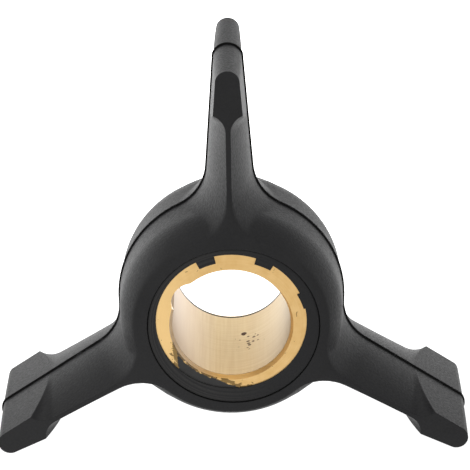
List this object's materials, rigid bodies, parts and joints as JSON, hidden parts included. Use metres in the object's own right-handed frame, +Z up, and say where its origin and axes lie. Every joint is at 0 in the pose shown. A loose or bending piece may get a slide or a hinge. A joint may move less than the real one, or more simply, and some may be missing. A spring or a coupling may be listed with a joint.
{
  "type": "pump impeller",
  "caption": "Flexible-vane pump impeller: a moulded rubber hub and vanes bonded to a keyed brass bush that slides on the drive shaft.",
  "frame": {"origin": "centre of the shaft bore, half way between the two end faces", "axes": "+Y along the shaft bore, away from the end shown in the picture; +Z up through the upright vane; +X to the right seen from the end shown"},
  "size_m": [0.0648, 0.019, 0.0567],
  "materials": {
    "rubber": "matte moulded nitrile rubber, fine grain",
    "brass": "turned, dull, slightly tarnished"
  },
  "bodies": {
    "root": {"rubber_body": "rubber", "brass_insert": "brass"}
  },
  "joints": []
}
